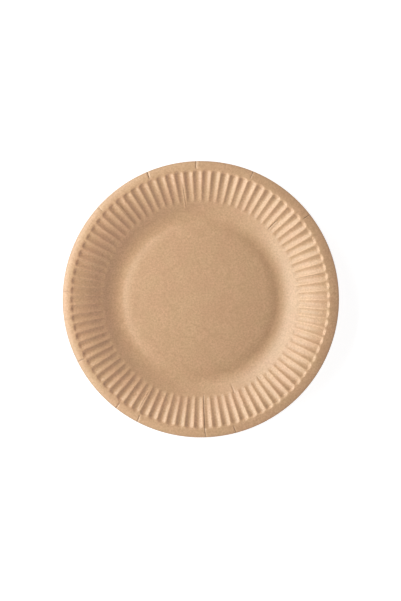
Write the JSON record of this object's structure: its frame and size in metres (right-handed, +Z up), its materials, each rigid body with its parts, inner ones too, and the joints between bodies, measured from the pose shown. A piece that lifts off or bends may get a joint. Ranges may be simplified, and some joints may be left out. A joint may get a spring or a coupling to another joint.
{
  "type": "paper plate",
  "caption": "Round disposable plate pressed from one kraft board blank: low domed middle, foot ring channel, sloping wall, fluted rim and plain turned-down lip.",
  "frame": {"origin": "middle of the plate on the plane that the foot ring stands on", "axes": "+Z up through the open face of the plate; X and Y lie in the table plane, and a ridge between two flutes lies on +X"},
  "size_m": [0.18, 0.18, 0.015],
  "materials": {
    "board": "matte, uncoated brown kraft with fine fibre specks"
  },
  "bodies": {
    "root": {"plate": "board"}
  },
  "joints": []
}
